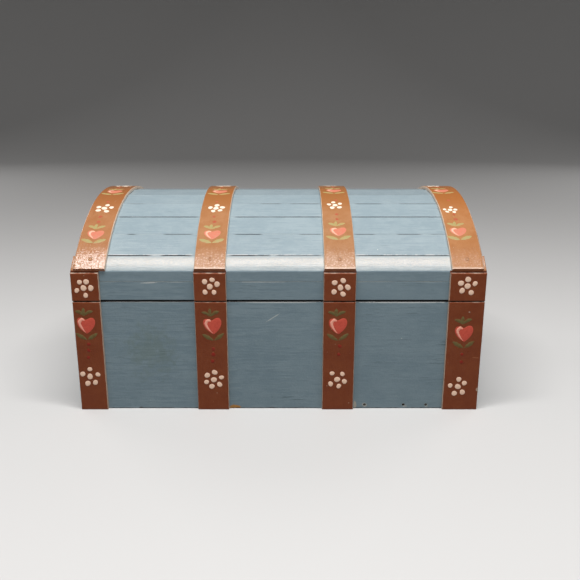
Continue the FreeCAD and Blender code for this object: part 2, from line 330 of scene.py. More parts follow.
def makeSpecks():
    # scattered small specks, as of dust and spatter
    inputs = {"Scale": 220.0, "Share": 0.1, "Smallest": 0.04, "Largest": 0.14}
    tree, source, target = makeGroup("specks", inputs, ["Mask"])
    cells = addNode(tree, "TexVoronoi", {"Vector": source["Vector"], "Scale": source["Scale"]})
    chance = addNode(tree, "SeparateColor", {"Color": cells["Color"]})    # random values of each cell
    size = spread(chance[1], source["Smallest"], source["Largest"])
    near = 1.0 - ease(cells["Distance"] / size, 0.6, 1.2)
    feed(target, {"Mask": (chance[0] < source["Share"]) * near})
    return tree


pineLook = {
    "early": (0.50, 0.325, 0.170),
    "late": (0.40, 0.235, 0.108),
    "pore": (0.36, 0.215, 0.105),
}


def makePineGrain():
    # bare softwood, with year rings drawn out along the board
    inputs = {"Stretch": (0.06, 1, 1), "Scale": 60.0, "Rings": 7.0, "Pores": 16.0}
    tree, source, target = makeGroup("pineGrain", inputs, ["Colour", "Height"])
    drawn = vectorOf("MULTIPLY", source["Vector"], source["Stretch"])
    rings = noiseOf(drawn, source["Scale"], 3.0, 0.55)
    late = ease(mathOf("PINGPONG", rings * source["Rings"], 0.5), 0.15, 0.48)
    pores = noiseOf(drawn, source["Scale"] * source["Pores"], 3.0, 0.6)
    colour = mixColour(late, pineLook["early"], pineLook["late"])
    colour = mixColour(ease(pores, 0.5, 0.8), colour, pineLook["pore"])
    feed(target, {"Colour": colour, "Height": late * 0.5 + pores})
    return tree


def makePaintCoat():
    # brushed paint: two tones, broken streaks and grain along the brush, scattered specks
    inputs = {
        "Deep": (0, 0, 0, 1),
        "Pale": (1, 1, 1, 1),
        "Tone Scale": (60, 60, 60),
        "Streak": (0, 0, 0, 1),
        "Streak Share": 0.5,
        "Stretch": (1, 1, 1),
        "Grain Scale": 600.0,
        "Grain Tone": 0.0,
        "Grain Patch": 130.0,
        "Speck": (1, 1, 1, 1),
        "Speck Scale": 260.0,
        "Speck Share": 0.05,
        "Peel Scale": 1000.0,
    }
    tree, source, target = makeGroup("paintCoat", inputs, ["Colour", "Height"])
    spot = source["Vector"]
    grainScale, speckScale = source["Grain Scale"], source["Speck Scale"]
    grain = useGroup(brushGrain, {"Vector": spot, "Stretch": source["Stretch"], "Scale": grainScale})
    dust = useGroup(specks, {"Vector": spot, "Scale": speckScale, "Share": source["Speck Share"]})
    patchy = ease(noiseOf(spot, source["Grain Patch"], 4.0, 0.6), 0.38, 0.62)
    tone = noiseOf(vectorOf("MULTIPLY", spot, source["Tone Scale"]), 1.0, 7.0, 0.8)
    tone = tone + around(grain["Height"], source["Grain Tone"]) * patchy
    colour = mixColour(ease(tone, 0.3, 0.7), source["Deep"], source["Pale"])
    colour = mixColour(grain["Streaks"] * source["Streak Share"], colour, source["Streak"])
    colour = mixColour(dust["Mask"], colour, source["Speck"])
    peel = noiseOf(spot, source["Peel Scale"], 3.0, 0.6)
    feed(target, {"Colour": colour, "Height": grain["Height"] + peel})
    return tree


def makeDomeFacing():
    # distance from the dome's axis, and how far the surface faces away from it
    inputs = {"Normal": (0, 0, 1), "Axis": (0, 0, domeCentre)}
    tree, source, target = makeGroup("domeFacing", inputs, ["Radial", "Facing"])
    upright = vectorOf("MULTIPLY", vectorOf("SUBTRACT", source["Vector"], source["Axis"]), (0, 1, 1))
    facing = vectorOf("DOT_PRODUCT", vectorOf("NORMALIZE", upright), source["Normal"])
    feed(target, {"Radial": vectorOf("LENGTH", upright), "Facing": facing})
    return tree


def makeChestFaces():
    # which faces of the chest are painted, where painted shade lies in the gap between box and lid (with
    # grime on their rims), and where a painted contact shadow lies along its foot
    inputs = {
        "Normal": (0, 0, 1),
        "Paint Depth": 0.0016,
        "Dome Paint Depth": 0.0029,
        "Rim Shade Width": 0.0031,
        "Rim Height": 0.0008,
        "Lip Height": 0.00075,
        "Ragged": 0.0026,
        "Ragged Scale": 240.0,
    }
    tree, source, target = makeGroup("chestFaces", inputs, ["Painted", "Gap Shade And Grime", "Foot Shadow"])
    spot, normal = source["Vector"], source["Normal"]
    axes = axesOf(spot)
    dome = useGroup(domeFacing, {"Vector": spot, "Normal": normal})
    outer = largest(abs(axes["Y"]) - halfDepth, abs(axes["X"]) - halfWidth)
    rough = around(noiseOf(spot, source["Ragged Scale"]), source["Ragged"])
    inDome = (dome["Radial"] - domeRadius) + source["Dome Paint Depth"]
    reached = largest(outer + source["Paint Depth"], inDome) + rough
    foot = axes["Z"] + rough * 0.5
    above = axes["Z"] - rimHeight
    upward = vectorOf("DOT_PRODUCT", normal, (0, 0, 1))
    level = largest((upward < -0.5) * (above > 0.0), upward > 0.85)    # the lid's underside and tops
    edge = ease(outer + source["Rim Shade Width"], -0.0005, 0.0005)
    # the rims and the lips along the gap are darkened: painted shade in the gap, with grime on the rims
    rimShadeAndGrime = edge * level * (abs(above) < source["Rim Height"])
    paintedLightLips = edge * (abs(above) < source["Lip Height"])
    feed(target, {
        "Painted": ease(reached, -0.0002, 0.0003),
        "Gap Shade And Grime": largest(rimShadeAndGrime, paintedLightLips),
        "Foot Shadow": 1.0 - ease(foot, 0.0002, 0.0009),
    })
    return tree


def makeSlatWearAndPaintedLight():
    # dirt and painted shade in the joints of the slats, the rubbed front and back edge with a painted
    # highlight along its middle, chips and a painted highlight along the joint behind it, and that edge's
    # slight crown
    inputs = {
        "Normal": (0, 0, 1),
        "Crown": 10.5,
        "Crown Shift": 0.0014,
        "Rub Scale": 1500.0,
        "Chip Scale": 120.0,
    }
    outputs = ["Groove Shade And Dirt", "Rubbed And Highlight", "Chips And Highlight", "Crown Height", "Upright"]
    tree, source, target = makeGroup("slatWearAndPaintedLight", inputs, outputs)
    spot = source["Vector"]
    axes = axesOf(spot)
    depth = abs(axes["Y"])
    facing = useGroup(domeFacing, {"Vector": spot, "Normal": source["Normal"]})["Facing"]
    eased, steep = 1.0 - ease(facing, 0.80, 0.97), 1.0 - ease(facing, 0.30, 0.60)
    angle = mathOf("MINIMUM", mathOf("ARCTAN2", depth, axes["Z"] - domeCentre), domeEdgeAngle)

    fromJoint = (lastJoint - angle) * domeRadius    # chips and a painted highlight along the joint behind the edge slat
    line = ease(fromJoint, 0.0001, 0.0003) * (1.0 - ease(fromJoint, 0.0007, 0.0013))
    along = vectorOf("MULTIPLY", spot, (1, 0.3, 0.3))
    chips = ease(noiseOf(along, source["Chip Scale"], 4.0, 0.7), 0.40, 0.56)

    offCrown = (angle - edgeSlatMiddle) * domeRadius + source["Crown Shift"]
    # the middle of the edge slat, where its highlight falls; the pale colour there is a painted highlight
    highlightRidge = 1.0 - ease(abs(offCrown), 0.0008, 0.0060)
    drawn = vectorOf("MULTIPLY", spot, (0.45, 1, 1))
    grainy = ease(noiseOf(drawn, source["Rub Scale"], 4.0, 0.7), 0.35, 0.65)
    edge = ease(depth, halfDepth - 0.0100, halfDepth - 0.0060) * (depth < halfDepth - 0.0002)
    feed(target, {
        # faces that slope into the joints are coloured darker: painted shade, with dirt
        "Groove Shade And Dirt": (eased * 0.35 + steep * 0.65) * (depth < halfDepth - 0.0006),
        "Rubbed And Highlight": edge * (spread(grainy, 0.34, 0.74) * spread(highlightRidge, 0.28, 1.0)),
        "Chips And Highlight": line * chips,
        "Crown Height": -(offCrown * offCrown * source["Crown"] * (angle > lastJoint)),
        "Upright": depth > halfDepth - 0.0004,
    })
    return tree


def makeSeamLine():
    # thin broken line where the edge slat meets the rail
    inputs = {"Height": edgeSlatSeam, "Break Scale": 36.0}
    tree, source, target = makeGroup("seamLine", inputs, ["Mask"])
    off = axesOf(source["Vector"])["Z"] - source["Height"]
    line = 1.0 - ease(abs(off), 0.00008, 0.0004)
    along = vectorOf("MULTIPLY", source["Vector"], (1, 0, 0.2))
    feed(target, {"Mask": line * ease(noiseOf(along, source["Break Scale"]), 0.5, 0.72)})
    return tree


brushGrain = makeBrushGrain()
edgeWear = makeEdgeWear()
paintSpot = makePaintSpot()
specks = makeSpecks()
pineGrain = makePineGrain()
paintCoat = makePaintCoat()
domeFacing = makeDomeFacing()
chestFaces = makeChestFaces()
slatWearAndPaintedLight = makeSlatWearAndPaintedLight()
seamLine = makeSeamLine()
print("shared effects built")

# Finishes
bluePaintLook = {
    "board": {
        "deep": (0.180, 0.249, 0.287),
        "pale": (0.220, 0.292, 0.329),
        "streakShare": 0.85,
        "worn": 0.8,
        "roughness": (0.18, 0.32),
        "sheen": 0.20,                 # specular level
        "bump": 0.34,
    },
    "slat": {                          # lighter and greyer than the boards: a lit copy of the same paint, a painted sheen of light from above
        "deep": (0.243, 0.306, 0.336),
        "pale": (0.295, 0.358, 0.384),
        "streakShare": 0.425,
        "worn": 0.25,
        "roughness": (0.15, 0.26),
        "sheen": 0.27,
        "bump": 0.45,
    },
    "coat": {
        "Tone Scale": (30, 30, 60),
        "Streak": (0.092, 0.138, 0.158),
        "Grain Scale": 850.0,
        "Speck": (0.45, 0.48, 0.48),
        "Speck Share": 0.02,
        "Peel Scale": 900.0,
    },
    "boardGrain": (0.8, 3.0),          # tone of the grain, right and left
    "weathered": (-0.05, 0.06),        # where it grows, to the left
    "slatGrain": 1.4,
    "glossScale": 90.0,
    "peelHeight": 0.00025,
    "worn": (0.44, 0.47, 0.455),       # along broken edges
    "wear": {"Radius": 0.0007, "Break Scale": 260.0, "Break Depth": 0.22},
    "seamShare": 0.6,
    "rubbedAndHighlight": (0.51, 0.44, 0.37),      # front and back edge of the dome: worn pale, and paler along its middle as a painted highlight
    "chipAndHighlight": (0.64, 0.60, 0.59),        # along the joint behind that edge: chips and a painted highlight
    "chipAndHighlightShare": 0.55,
    "grooveShadeAndDirt": (0.020, 0.028, 0.034),   # dirt and painted shade in the joints of the slats
    "crackShade": (0.007, 0.009, 0.011),    # painted shadow in the joints where the paint over them has split
    "brownEnd": (0.33, 0.145, 0.060),  # ends of the slats, painted with the straps
    "brownFrom": (0.1245, 0.1250),     # soft edge, to left and right
    "underStrap": (0.11, 0.023, 0.006),    # brown on the edge slats, below the dome straps
    "shadeAndGrime": (0.014, 0.011, 0.009),      # dark: painted shade with grime where box and lid meet, and a painted contact shadow on the foot
    "footShadowShare": 0.75,
    "paintDepth": 0.0014,              # paint reaches this far in from the outer faces
    "woodScale": 70.0,
    "woodDryness": 0.3,                # added roughness of bare wood
    "bevel": 0.0004,
}

# marks on the front: tint and its share, centre across and up, half sizes, raggedness and its scale,
# and for a few a turn in degrees or a soft edge
frontMarks = [
    # the first three are pale lines on the rounded top edge of the front: a painted highlight
    {"tint": (0.44, 0.47, 0.46, 0.35), "at": (-0.08, 0.0711), "half": (0.027, 0.00032), "edge": (0.9, 500)},
    {"tint": (0.58, 0.61, 0.6, 0.9), "at": (0.0005, 0.07115), "half": (0.0285, 0.00036), "edge": (0.9, 500)},
    {"tint": (0.64, 0.67, 0.66, 1.0), "at": (0.0775, 0.07112), "half": (0.0325, 0.00038), "edge": (0.9, 500)},
    {"tint": (0.141, 0.189, 0.148, 0.36), "at": (-0.08, 0.04), "half": (0.021, 0.022),
     "edge": (1.9, 260), "soft": 0.95},
    {"tint": (0.459, 0.488, 0.474, 0.8), "at": (-0.0036, 0.0613), "half": (0.0062, 0.00035),
     "edge": (0.9, 500), "turn": 33},
    {"tint": (0.444, 0.215, 0.059, 1.0), "at": (-0.0284, 0.0007), "half": (0.0042, 0.002),
     "edge": (0.8, 700)},
    {"tint": (0.459, 0.429, 0.355, 0.9), "at": (0.0488, 0.0026), "half": (0.0011, 0.003), "edge": (1.2, 900)},
    {"tint": (0.444, 0.429, 0.385, 0.7), "at": (0.055, 0.0024), "half": (0.0019, 0.0017), "edge": (0.9, 800)},
    {"tint": (0.407, 0.407, 0.37, 0.5), "at": (0.0812, 0.0016), "half": (0.0015, 0.001), "edge": (1.0, 900)},
    {"tint": (0.37, 0.37, 0.34, 0.4), "at": (0.095, 0.0018), "half": (0.0013, 0.0011), "edge": (1.0, 900)},
    {"tint": (0.074, 0.081, 0.081, 0.8), "at": (-0.0892, 0.0004), "half": (0.0014, 0.0008),
     "edge": (1.0, 900)},
    {"tint": (0.089, 0.081, 0.074, 0.7), "at": (-0.0047, 0.0003), "half": (0.0022, 0.0007),
     "edge": (1.0, 900)},
]
railMarks = [
    {"tint": (0.592, 0.607, 0.592, 0.9), "at": (-0.0794, 0.0837), "half": (0.0056, 0.00032),
     "edge": (0.8, 500), "turn": 1},
    {"tint": (0.488, 0.518, 0.518, 0.6), "at": (-0.063, 0.084), "half": (0.006, 0.00022), "edge": (0.9, 600)},
    {"tint": (0.488, 0.518, 0.518, 0.9), "at": (-0.01, 0.0842), "half": (0.017, 0.00026), "edge": (0.9, 600)},
]
rightStrapMarks = [
    {"tint": (0.488, 0.414, 0.34, 0.6), "at": (0.1177, 0.0656), "half": (0.0006, 0.0005), "edge": (0.8, 900)},
    {"tint": (0.34, 0.126, 0.059, 0.9), "at": (0.124, 0.0355), "half": (0.0026, 0.00028),
     "edge": (0.8, 900), "turn": -4},
    {"tint": (0.488, 0.37, 0.281, 0.9), "at": (0.1262, 0.014), "half": (0.0009, 0.0012), "edge": (1.0, 900)},
]
markDepth = 0.004
alongWidth = (0.06, 1, 1)        # draws brush marks out along a board
alongDepth = (1, 0.06, 1)


def boardGrain(stretch):    # year rings run longer than brush marks
    return tuple(value if value == 1 else value * 0.3 for value in stretch)


def addMarks(colour, spot, marks, face):
    for mark in marks:
        (x, z), (wide, high) = mark["at"], mark["half"]
        mask = useGroup(paintSpot, {
            "Vector": spot,
            "Centre": (x, face, z),
            "Radii": (wide, markDepth, high),
            "Turn": math.radians(mark.get("turn", 0)),
            "Ragged": mark["edge"][0],
            "Ragged Scale": mark["edge"][1],
            "Softness": mark.get("soft", 0.3),
        })["Mask"]
        *tint, share = mark["tint"]
        colour = mixColour(mask * share, colour, tint)
    return colour


def slatWearAndPaintedLightColour(colour, x, wear):
    look = bluePaintLook
    colour = mixColour(wear["Groove Shade And Dirt"], colour, look["grooveShadeAndDirt"])
    colour = mixColour(wear["Rubbed And Highlight"], colour, look["rubbedAndHighlight"])
    colour = mixColour(wear["Chips And Highlight"] * look["chipAndHighlightShare"], colour, look["chipAndHighlight"])
    colour = mixColour(ease(abs(x), *look["brownFrom"]), colour, look["brownEnd"])
    for low, high in strapSpans:
        below = abs(x - (low.x + high.x) / 2) < (high.x - low.x) / 2
        colour = mixColour(below * wear["Upright"], colour, look["underStrap"])
    return colour


def bluePaint(name, stretch, tones="board", marks=(), seam=False, shadedCracks=False):
    material, tree, shader = newMaterial(name)
    look, own = bluePaintLook, bluePaintLook[tones]
    slat = tones == "slat"
    coords = addNode(tree, "TexCoord")
    spot, normal = coords["Object"], coords["Normal"]
    x = axesOf(spot)["X"]
    if slat:    # their upright front face keeps the boards' tone
        wear = useGroup(slatWearAndPaintedLight, {"Vector": spot, "Normal": normal})
        deep, pale = (mixColour(wear["Upright"], own[tone], look["board"][tone]) for tone in ("deep", "pale"))
        grainTone = look["slatGrain"]
    else:    # the left of the chest has weathered more
        deep, pale = own["deep"], own["pale"]
        grainTone = spread(ease(-x, *look["weathered"]), *look["boardGrain"])
    coat = useGroup(paintCoat, {
        "Vector": spot,
        "Deep": deep,
        "Pale": pale,
        "Streak Share": own["streakShare"],
        "Stretch": stretch,
        "Grain Tone": grainTone,
        **look["coat"],
    })
    worn = useGroup(edgeWear, {"Vector": spot, **look["wear"]})
    colour = mixColour(worn["Mask"] * own["worn"], coat["Colour"], look["worn"])
    colour = addMarks(colour, spot, marks, -halfDepth)
    if seam:
        line = useGroup(seamLine, {"Vector": spot})
        colour = mixColour(line["Mask"] * look["seamShare"], colour, look["worn"])
    if slat:
        colour = slatWearAndPaintedLightColour(colour, x, wear)
    # the splits in the joint paint are coloured near black: painted shadow
    if shadedCracks:
        crackShade = addNode(tree, "Attribute", attribute_name="crackShade")
        colour = mixColour(crackShade["Fac"], colour, look["crackShade"])

    # bare wood inside the chest, painted shade with grime on the rims and along the gap, and a painted
    # contact shadow on the foot
    faces = useGroup(chestFaces, {"Vector": spot, "Normal": normal, "Paint Depth": look["paintDepth"]})
    wood = useGroup(pineGrain, {"Vector": spot, "Stretch": boardGrain(stretch), "Scale": look["woodScale"]})
    colour = mixColour(faces["Painted"], wood["Colour"], colour)
    colour = mixColour(faces["Gap Shade And Grime"], colour, look["shadeAndGrime"])
    colour = mixColour(faces["Foot Shadow"] * look["footShadowShare"], colour, look["shadeAndGrime"])
    gloss = spread(noiseOf(spot, look["glossScale"]), *own["roughness"])
    level = addNode(tree, "Bevel", {"Radius": look["bevel"]}, samples=4)["Normal"]
    if slat:
        level = bumpOf(wear["Crown Height"], 1.0, 1.0, Normal=level)
    feed(shader, {
        "Base Color": colour,
        "Specular IOR Level": own["sheen"],
        "Roughness": gloss + (1.0 - faces["Painted"]) * look["woodDryness"],
        "Normal": bumpOf(coat["Height"], own["bump"], look["peelHeight"], Normal=level),
    })
    return material


strapPaintLook = {
    "wall": {
        "dark": (0.182, 0.038, 0.011),
        "pale": (0.221, 0.054, 0.0163),
        "bare": 0.62,
        "specks": 0.06,
        "peelScale": 1100.0,
        "roughness": (0.24, 0.36),
    },
    # the same brown as on the walls, painted lighter and more orange: painted light on the lid's top
    "dome": {
        "dark": (0.338, 0.151, 0.064),
        "pale": (0.396, 0.198, 0.099),
        "top": (0.315, 0.120, 0.036),        # over the crest, darker and richer; the paler rest is a painted sheen
        "end": (0.270, 0.105, 0.045),        # cut ends, coloured darker: painted shade
        "bare": 0.75,
        "specks": 0.16,
        "peelScale": 700.0,
        "roughness": (0.06, 0.24),
    },
    "wallSheen": 0.20,                       # specular level
    "coat": {
        "Tone Scale": (90, 90, 90),
        "Streak Share": 0.35,
        "Stretch": (1, 0.12, 1),             # draws brush marks out along the strap
        "Grain Scale": 600.0,
        "Speck": (0.46, 0.33, 0.23),
        "Speck Scale": 420.0,
    },
    "streakDepth": 0.6,                      # of the dark tone
    "bare": (0.70, 0.58, 0.46),              # raw edges
    "breakScale": 260.0,
    "breakDepth": 0.55,
    "highlightFleck": (0.80, 0.60, 0.48),             # painted highlight at the ends of the dome straps: pale grain, and the pale lips
    "fleckScale": 760.0,
    "fleckReach": 0.0135,
    "lipReach": 0.0019,
    "crest": (0.014, 0.002),                 # below the top of the dome
    "bump": 0.45,
    "peelHeight": 0.0003,
}
# sheen, pale grain and pale edge at the ends, both painted highlight, and tint; the left strap is rubbed
# shinier
domeStrapLooks = [
    {"sheen": 0.37, "highlightFlecks": 0.56, "paintedLightLips": 0.00, "tint": (1.00, 0.92, 0.84)},
    {"sheen": 0.11, "highlightFlecks": 0.50, "paintedLightLips": 0.50, "tint": (1.00, 0.97, 0.92)},
    {"sheen": 0.11, "highlightFlecks": 0.50, "paintedLightLips": 0.50, "tint": (1.00, 1.01, 1.00)},
    {"sheen": 0.06, "highlightFlecks": 0.22, "paintedLightLips": 0.50, "tint": (1.03, 0.95, 0.82)},
]


def brownPaint(name, where, sheen, marks=(), highlightFlecks=0.0, paintedLightLips=0.0, tint=(1, 1, 1)):
    material, tree, shader = newMaterial(name)
    look, own = strapPaintLook, strapPaintLook[where]
    dome = where == "dome"
    tones = ("dark", "pale", "top", "end") if dome else ("dark", "pale")
    colours = {tone: tuple(a * b for a, b in zip(own[tone], tint)) for tone in tones}
    coords = addNode(tree, "TexCoord")
    place, normal = coords["Object"], coords["Normal"]
    spot = addNode(tree, "UVMap", uv_map="strapUv")["UV"]    # metres across and along the strap
    dark, pale = colours["dark"], colours["pale"]
    if dome:
        axes = axesOf(place)
        depth = abs(axes["Y"])
        crest = ease(axes["Z"], domeHigh.z - look["crest"][0], domeHigh.z - look["crest"][1])
        dark, pale = (mixColour(crest, tone, colours["top"]) for tone in (dark, pale))
    coat = useGroup(paintCoat, {
        "Vector": spot,
        "Deep": dark,
        "Pale": pale,
        "Streak": tuple(value * look["streakDepth"] for value in colours["dark"]),
        "Speck Share": own["specks"],
        "Peel Scale": own["peelScale"],
        **look["coat"],
    })
    colour = coat["Colour"]
    if dome:
        # pale grain near the strap's ends: painted highlight
        grainy = ease(noiseOf(spot, look["fleckScale"], 3.0, 0.65), 0.50, 0.66)
        nearEnd = ease(depth, halfDepth - look["fleckReach"], halfDepth - 0.002)
        colour = mixColour(grainy * nearEnd * highlightFlecks, colour, look["highlightFleck"])
    edge = addNode(tree, "Attribute", attribute_name="edge")["Fac"]
    raw = ease(edge + around(noiseOf(spot, look["breakScale"]), look["breakDepth"]), 0.42, 0.66)
    colour = mixColour(raw * own["bare"], colour, look["bare"])
    colour = addMarks(colour, place, marks, -halfDepth - faceLevel)
    gloss = noiseOf(spot, 160.0)
    if dome:    # a grainy gloss, pale lips as a painted highlight, and cut ends coloured darker as painted shade
        gloss = ease(noiseOf(spot, 620.0, 3.0, 0.6), 0.35, 0.65)
        facing = useGroup(domeFacing, {"Vector": place, "Normal": normal})["Facing"]
        lipHighlight = ease(depth, strapEndDepth - look["lipReach"], strapEndDepth - 0.4 * look["lipReach"])
        colour = mixColour(lipHighlight * facing * paintedLightLips, colour, look["highlightFleck"])
        # faces that turn away from the dome, the strap's cut ends, are coloured darker: painted shade
        sideways = abs(axesOf(normal)["X"])
        cut = (1.0 - ease(facing, 0.25, 0.60)) * (1.0 - ease(sideways, 0.3, 0.7))
        colour = mixColour(cut, colour, colours["end"])
    feed(shader, {
        "Base Color": colour,
        "Specular IOR Level": sheen,
        "Roughness": spread(gloss, *own["roughness"]),
        "Normal": bumpOf(coat["Height"], look["bump"], look["peelHeight"]),
    })
    return material


# paint of the motifs: thick, thin and how much is thin
motifPaintLook = {
    "wall": {
        "dot": ((0.97, 0.68, 0.51), (0.86, 0.56, 0.41), 0.5),
        "heart": ((0.66, 0.102, 0.066), (0.54, 0.072, 0.045), 0.6),
        "pink": ((0.99, 0.44, 0.32), (0.90, 0.34, 0.25), 0.5),
        "leaf": ((0.156, 0.126, 0.046), (0.165, 0.078, 0.023), 0.85),
        "berry": ((0.265, 0.022, 0.012), (0.210, 0.027, 0.0115), 0.7),
    },
    # the same paints on the dome, in lit copies mostly lighter and paler than on the walls: painted light on
    # the lid's top
    "dome": {
        "dot": ((0.82, 0.70, 0.57), (0.67, 0.51, 0.38), 0.4),
        "heart": ((0.58, 0.175, 0.108), (0.52, 0.222, 0.136), 0.7),
        "pink": ((0.75, 0.43, 0.30), (0.71, 0.33, 0.22), 0.5),
        "leaf": ((0.345, 0.290, 0.115), (0.42, 0.25, 0.095), 0.8),
        "berry": ((0.39, 0.088, 0.042), (0.37, 0.115, 0.050), 0.6),
    },
}
motifRoughness = {"dot": 0.45, "heart": 0.4, "pink": 0.4, "leaf": 0.45, "berry": 0.4}
paintKinds = list(motifRoughness)


def motifPaint(where, kind):
    material, tree, shader = newMaterial(f"{where}Motif{kind.title()}")
    spot = addNode(tree, "TexCoord")["Object"]
    thick, thin, share = motifPaintLook[where][kind]
    streaky = ease(noiseOf(spot, 620.0, 3.0, 0.6), 0.40, 0.70)
    feed(shader, {
        "Base Color": mixColour(streaky * share, thick, thin),
        "Roughness": motifRoughness[kind],
        "Specular IOR Level": strapPaintLook["wallSheen"],
        "Normal": bumpOf(noiseOf(spot, 1500.0, 3.0, 0.6), 0.35, 0.0002),
    })
    return material


brassLook = {"bright": (0.66, 0.46, 0.17), "dull": (0.45, 0.29, 0.11), "roughness": (0.26, 0.42)}
bradLook = {"bright": (0.07, 0.065, 0.06), "dull": (0.03, 0.02, 0.014), "roughness": (0.4, 0.6)}
metalWear = {"Radius": 0.0003, "Break Scale": 500.0, "Break Depth": 0.1}
bareRoughness = 0.62


def oldMetal(name, look):
    material, tree, shader = newMaterial(name)
    spot = addNode(tree, "TexCoord")["Object"]
    tarnish = noiseOf(spot, 300.0, 4.0, 0.6)
    dull = ease(tarnish, 0.35, 0.7) - useGroup(edgeWear, {"Vector": spot, **metalWear})["Mask"]
    scratches = useGroup(brushGrain, {"Vector": spot, "Stretch": (0.1, 1, 1), "Scale": 1500.0})
    feed(shader, {
        "Base Color": mixColour(ease(dull, 0.0, 1.0), look["bright"], look["dull"]),
        "Metallic": 1.0,
        "Roughness": spread(tarnish, *look["roughness"]),
        "Normal": bumpOf(scratches["Height"], 0.2, 0.0001),
    })
    return material


def bareWood(name):
    material, tree, shader = newMaterial(name)
    wood = useGroup(pineGrain, {
        "Vector": addNode(tree, "TexCoord")["Object"],
        "Stretch": boardGrain(alongWidth),
        "Scale": bluePaintLook["woodScale"],
    })
    normal = bumpOf(wood["Height"], 0.3, 0.0003)
    feed(shader, {"Base Color": wood["Colour"], "Roughness": bareRoughness, "Normal": normal})
    return material


blueFront = bluePaint("blueFrontBoard", alongWidth, marks=frontMarks)
blueLong = bluePaint("blueLongBoards", alongWidth)
blueFrontRail = bluePaint("blueFrontRail", alongWidth, marks=railMarks, seam=True)
blueBackRail = bluePaint("blueBackRail", alongWidth, seam=True)
blueEnd = bluePaint("blueEndBoards", alongDepth)
blueSlat = bluePaint("blueSlats", alongWidth, "slat", seam=True)
blueJoint = bluePaint("blueJointPaint", alongWidth, "slat", shadedCracks=True)
brownWall = brownPaint("brownWallStraps", "wall", strapPaintLook["wallSheen"])
brownWallRight = brownPaint("brownRightStrap", "wall", strapPaintLook["wallSheen"], marks=rightStrapMarks)
brownDomes = [
    brownPaint(f"brownDomeStrap{number + 1}", "dome", **look)
    for number, look in enumerate(domeStrapLooks)
]
motifPaints = {where: [motifPaint(where, kind) for kind in paintKinds] for where in motifPaintLook}
brass = oldMetal("agedBrass", brassLook)
bradSteel = oldMetal("bradSteel", bradLook)
pine = bareWood("barePine")
print("finishes built")

# Meshes and pieces


def circle(sides):
    return [2 * math.pi * index / sides for index in range(sides)]


def loft(rings):
    # points and faces of a closed body over rings of points; its last ring may be a single point
    sides = len(rings[0])
    points = [point for ring in rings for point in ring]
    pointed = len(rings[-1]) == 1
    last = (len(rings) - 1 - pointed) * sides
    faces = [tuple(reversed(range(sides)))]
    for low in range(0, last, sides):
        for index in range(sides):
            after = (index + 1) % sides
            faces.append((low + index, low + after, low + sides + after, low + sides + index))
    if pointed:
        faces += [(last + index, last + (index + 1) % sides, last + sides) for index in range(sides)]
    else:
        faces.append(tuple(range(last, last + sides)))
    return points, faces


def joinMesh(name, bodies):
    points, faces = [], []
    for morePoints, moreFaces in bodies:
        shift = len(points)
        points += morePoints
        faces += [tuple(index + shift for index in face) for face in moreFaces]
    mesh = bpy.data.meshes.new(name)
    mesh.from_pydata(points, [], faces)
    return mesh


def addAttribute(mesh, name, values):    # one value for each point
    attribute = mesh.attributes.new(name, "FLOAT", "POINT")
    attribute.data.foreach_set("value", values)


def sinkHoles(piece, holes):
    # takes the holes out of the piece and keeps the result as its mesh
    tool = addObject("cutter", joinMesh("cutter", holes))
    cut = piece.modifiers.new("holes", "BOOLEAN")
    cut.operation = "DIFFERENCE"
    cut.object = tool
    bpy.context.view_layer.update()
    graph = bpy.context.evaluated_depsgraph_get()
    whole = piece.evaluated_get(graph)
    result = bpy.data.meshes.new_from_object(whole, preserve_all_data_layers=True, depsgraph=graph)
    piece.modifiers.clear()
    piece.data = result
    bpy.data.objects.remove(tool)


def addPiece(name, mesh, body, materials, replaced=(), holes=(), sharpFrom=40):
    piece = addObject(name, mesh)
    for material in materials:
        mesh.materials.append(material)
    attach(piece, body)
    if replaced:
        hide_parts(*replaced)
    if holes:
        sinkHoles(piece, holes)
    piece.data.shade_smooth()
    piece.data.set_sharp_from_angle(angle=math.radians(sharpFrom))


# Straps
strapLook = {
    "rounding": 0.0007,        # long edges
    "endRounding": 0.00045,
    "wander": 0.00014,         # how far the hand-cut edges stray inwards
    "wanderScale": 70,
    "ringSpacing": 0.0025,
    "cellsAcross": 10,
    "arcSteps": 4,
    "endSteps": 3,
    "domeEndTilt": 16.0,       # degrees
    "sideWear": 0.95,          # bareness of the long edges
    "wallEndWear": 0.55,
    # the dome straps' ends are paler: raw edges, and a painted highlight on their rounded ends
    "domeEndWearAndHighlight": 0.80,
    "sideReach": 1.8,          # how far the wear reaches, in roundings
    "endReach": 2.2,
}


def wallPlace(centre, bottom, side):
    # side is -1 on the front and 1 on the back; across runs to the right as seen from outside
    def place(across, along, out):
        return Vector((centre - side * across, side * (halfDepth + out), bottom + along))

    return place


def domePlace(centre):
    # along is measured over the strap's outer face, from the front end
    def place(across, along, out):
        angle = along / strapRadius - domeEdgeAngle
        radius = domeRadius + out
        return Vector((centre + across, radius * math.sin(angle), domeCentre + radius * math.cos(angle)))

    return place


def strapSection(width):
    # points over the strap from edge to edge: across, out, and how much of an edge each one is
    half, rounding, wear = width / 2, strapLook["rounding"], strapLook["sideWear"]
    inner = half - strapLook["sideReach"] * rounding
    right = [(half, 0.0, wear)]
    for step in range(strapLook["arcSteps"] + 1):
        turn = math.pi / 2 * step / strapLook["arcSteps"]
        across = half - rounding * (1 - math.cos(turn))
        right.append((across, faceLevel - rounding * (1 - math.sin(turn)), wear * math.cos(turn)))
    right.append((inner, faceLevel, 0.0))
    cells = strapLook["cellsAcross"]
    middle = [(inner - 2 * inner * step / cells, faceLevel, 0.0) for step in range(1, cells)]
    left = [(-across, out, edge) for across, out, edge in reversed(right)]
    return list(reversed(right + middle + left))


